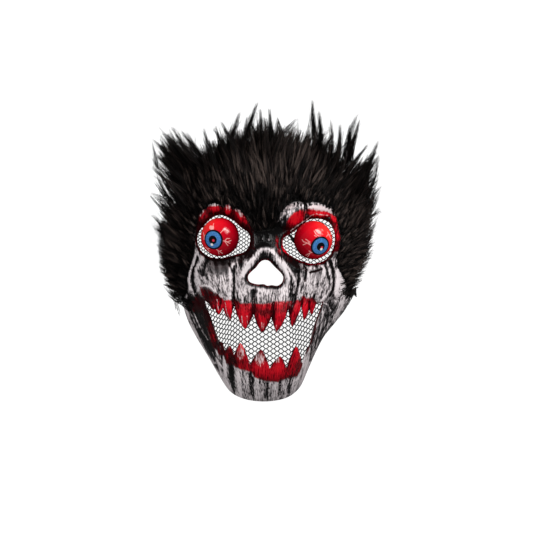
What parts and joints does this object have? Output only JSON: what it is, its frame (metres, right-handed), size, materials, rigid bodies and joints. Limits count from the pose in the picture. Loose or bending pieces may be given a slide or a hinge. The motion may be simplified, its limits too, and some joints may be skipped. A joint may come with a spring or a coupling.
{
  "type": "halloween monster mask",
  "caption": "Moulded monster face mask with bulging eyeballs, bared teeth, nets behind the eyes and mouth, and a hood of long fake fur; lies on the flat back of its rim.",
  "frame": {"origin": "on the plane of the rim's flat back, under the middle of the whole mask", "axes": "+Z out of the face, +Y towards the hair, +X to the right of someone looking at the face"},
  "size_m": [0.249, 0.321, 0.094],
  "materials": {
    "moulding": "black vinyl, dry-brushed pale grey, with red paint",
    "eyeball": "high gloss red with a blue iris",
    "net": "black knotted net",
    "fur": "black long-pile fake fur"
  },
  "bodies": {
    "root": {"mask_face": "moulding", "left_eyeball": "eyeball", "right_eyeball": "eyeball", "left_eye_net": "net", "right_eye_net": "net", "mouth_net": "net", "fur_hood": "fur"}
  },
  "joints": []
}
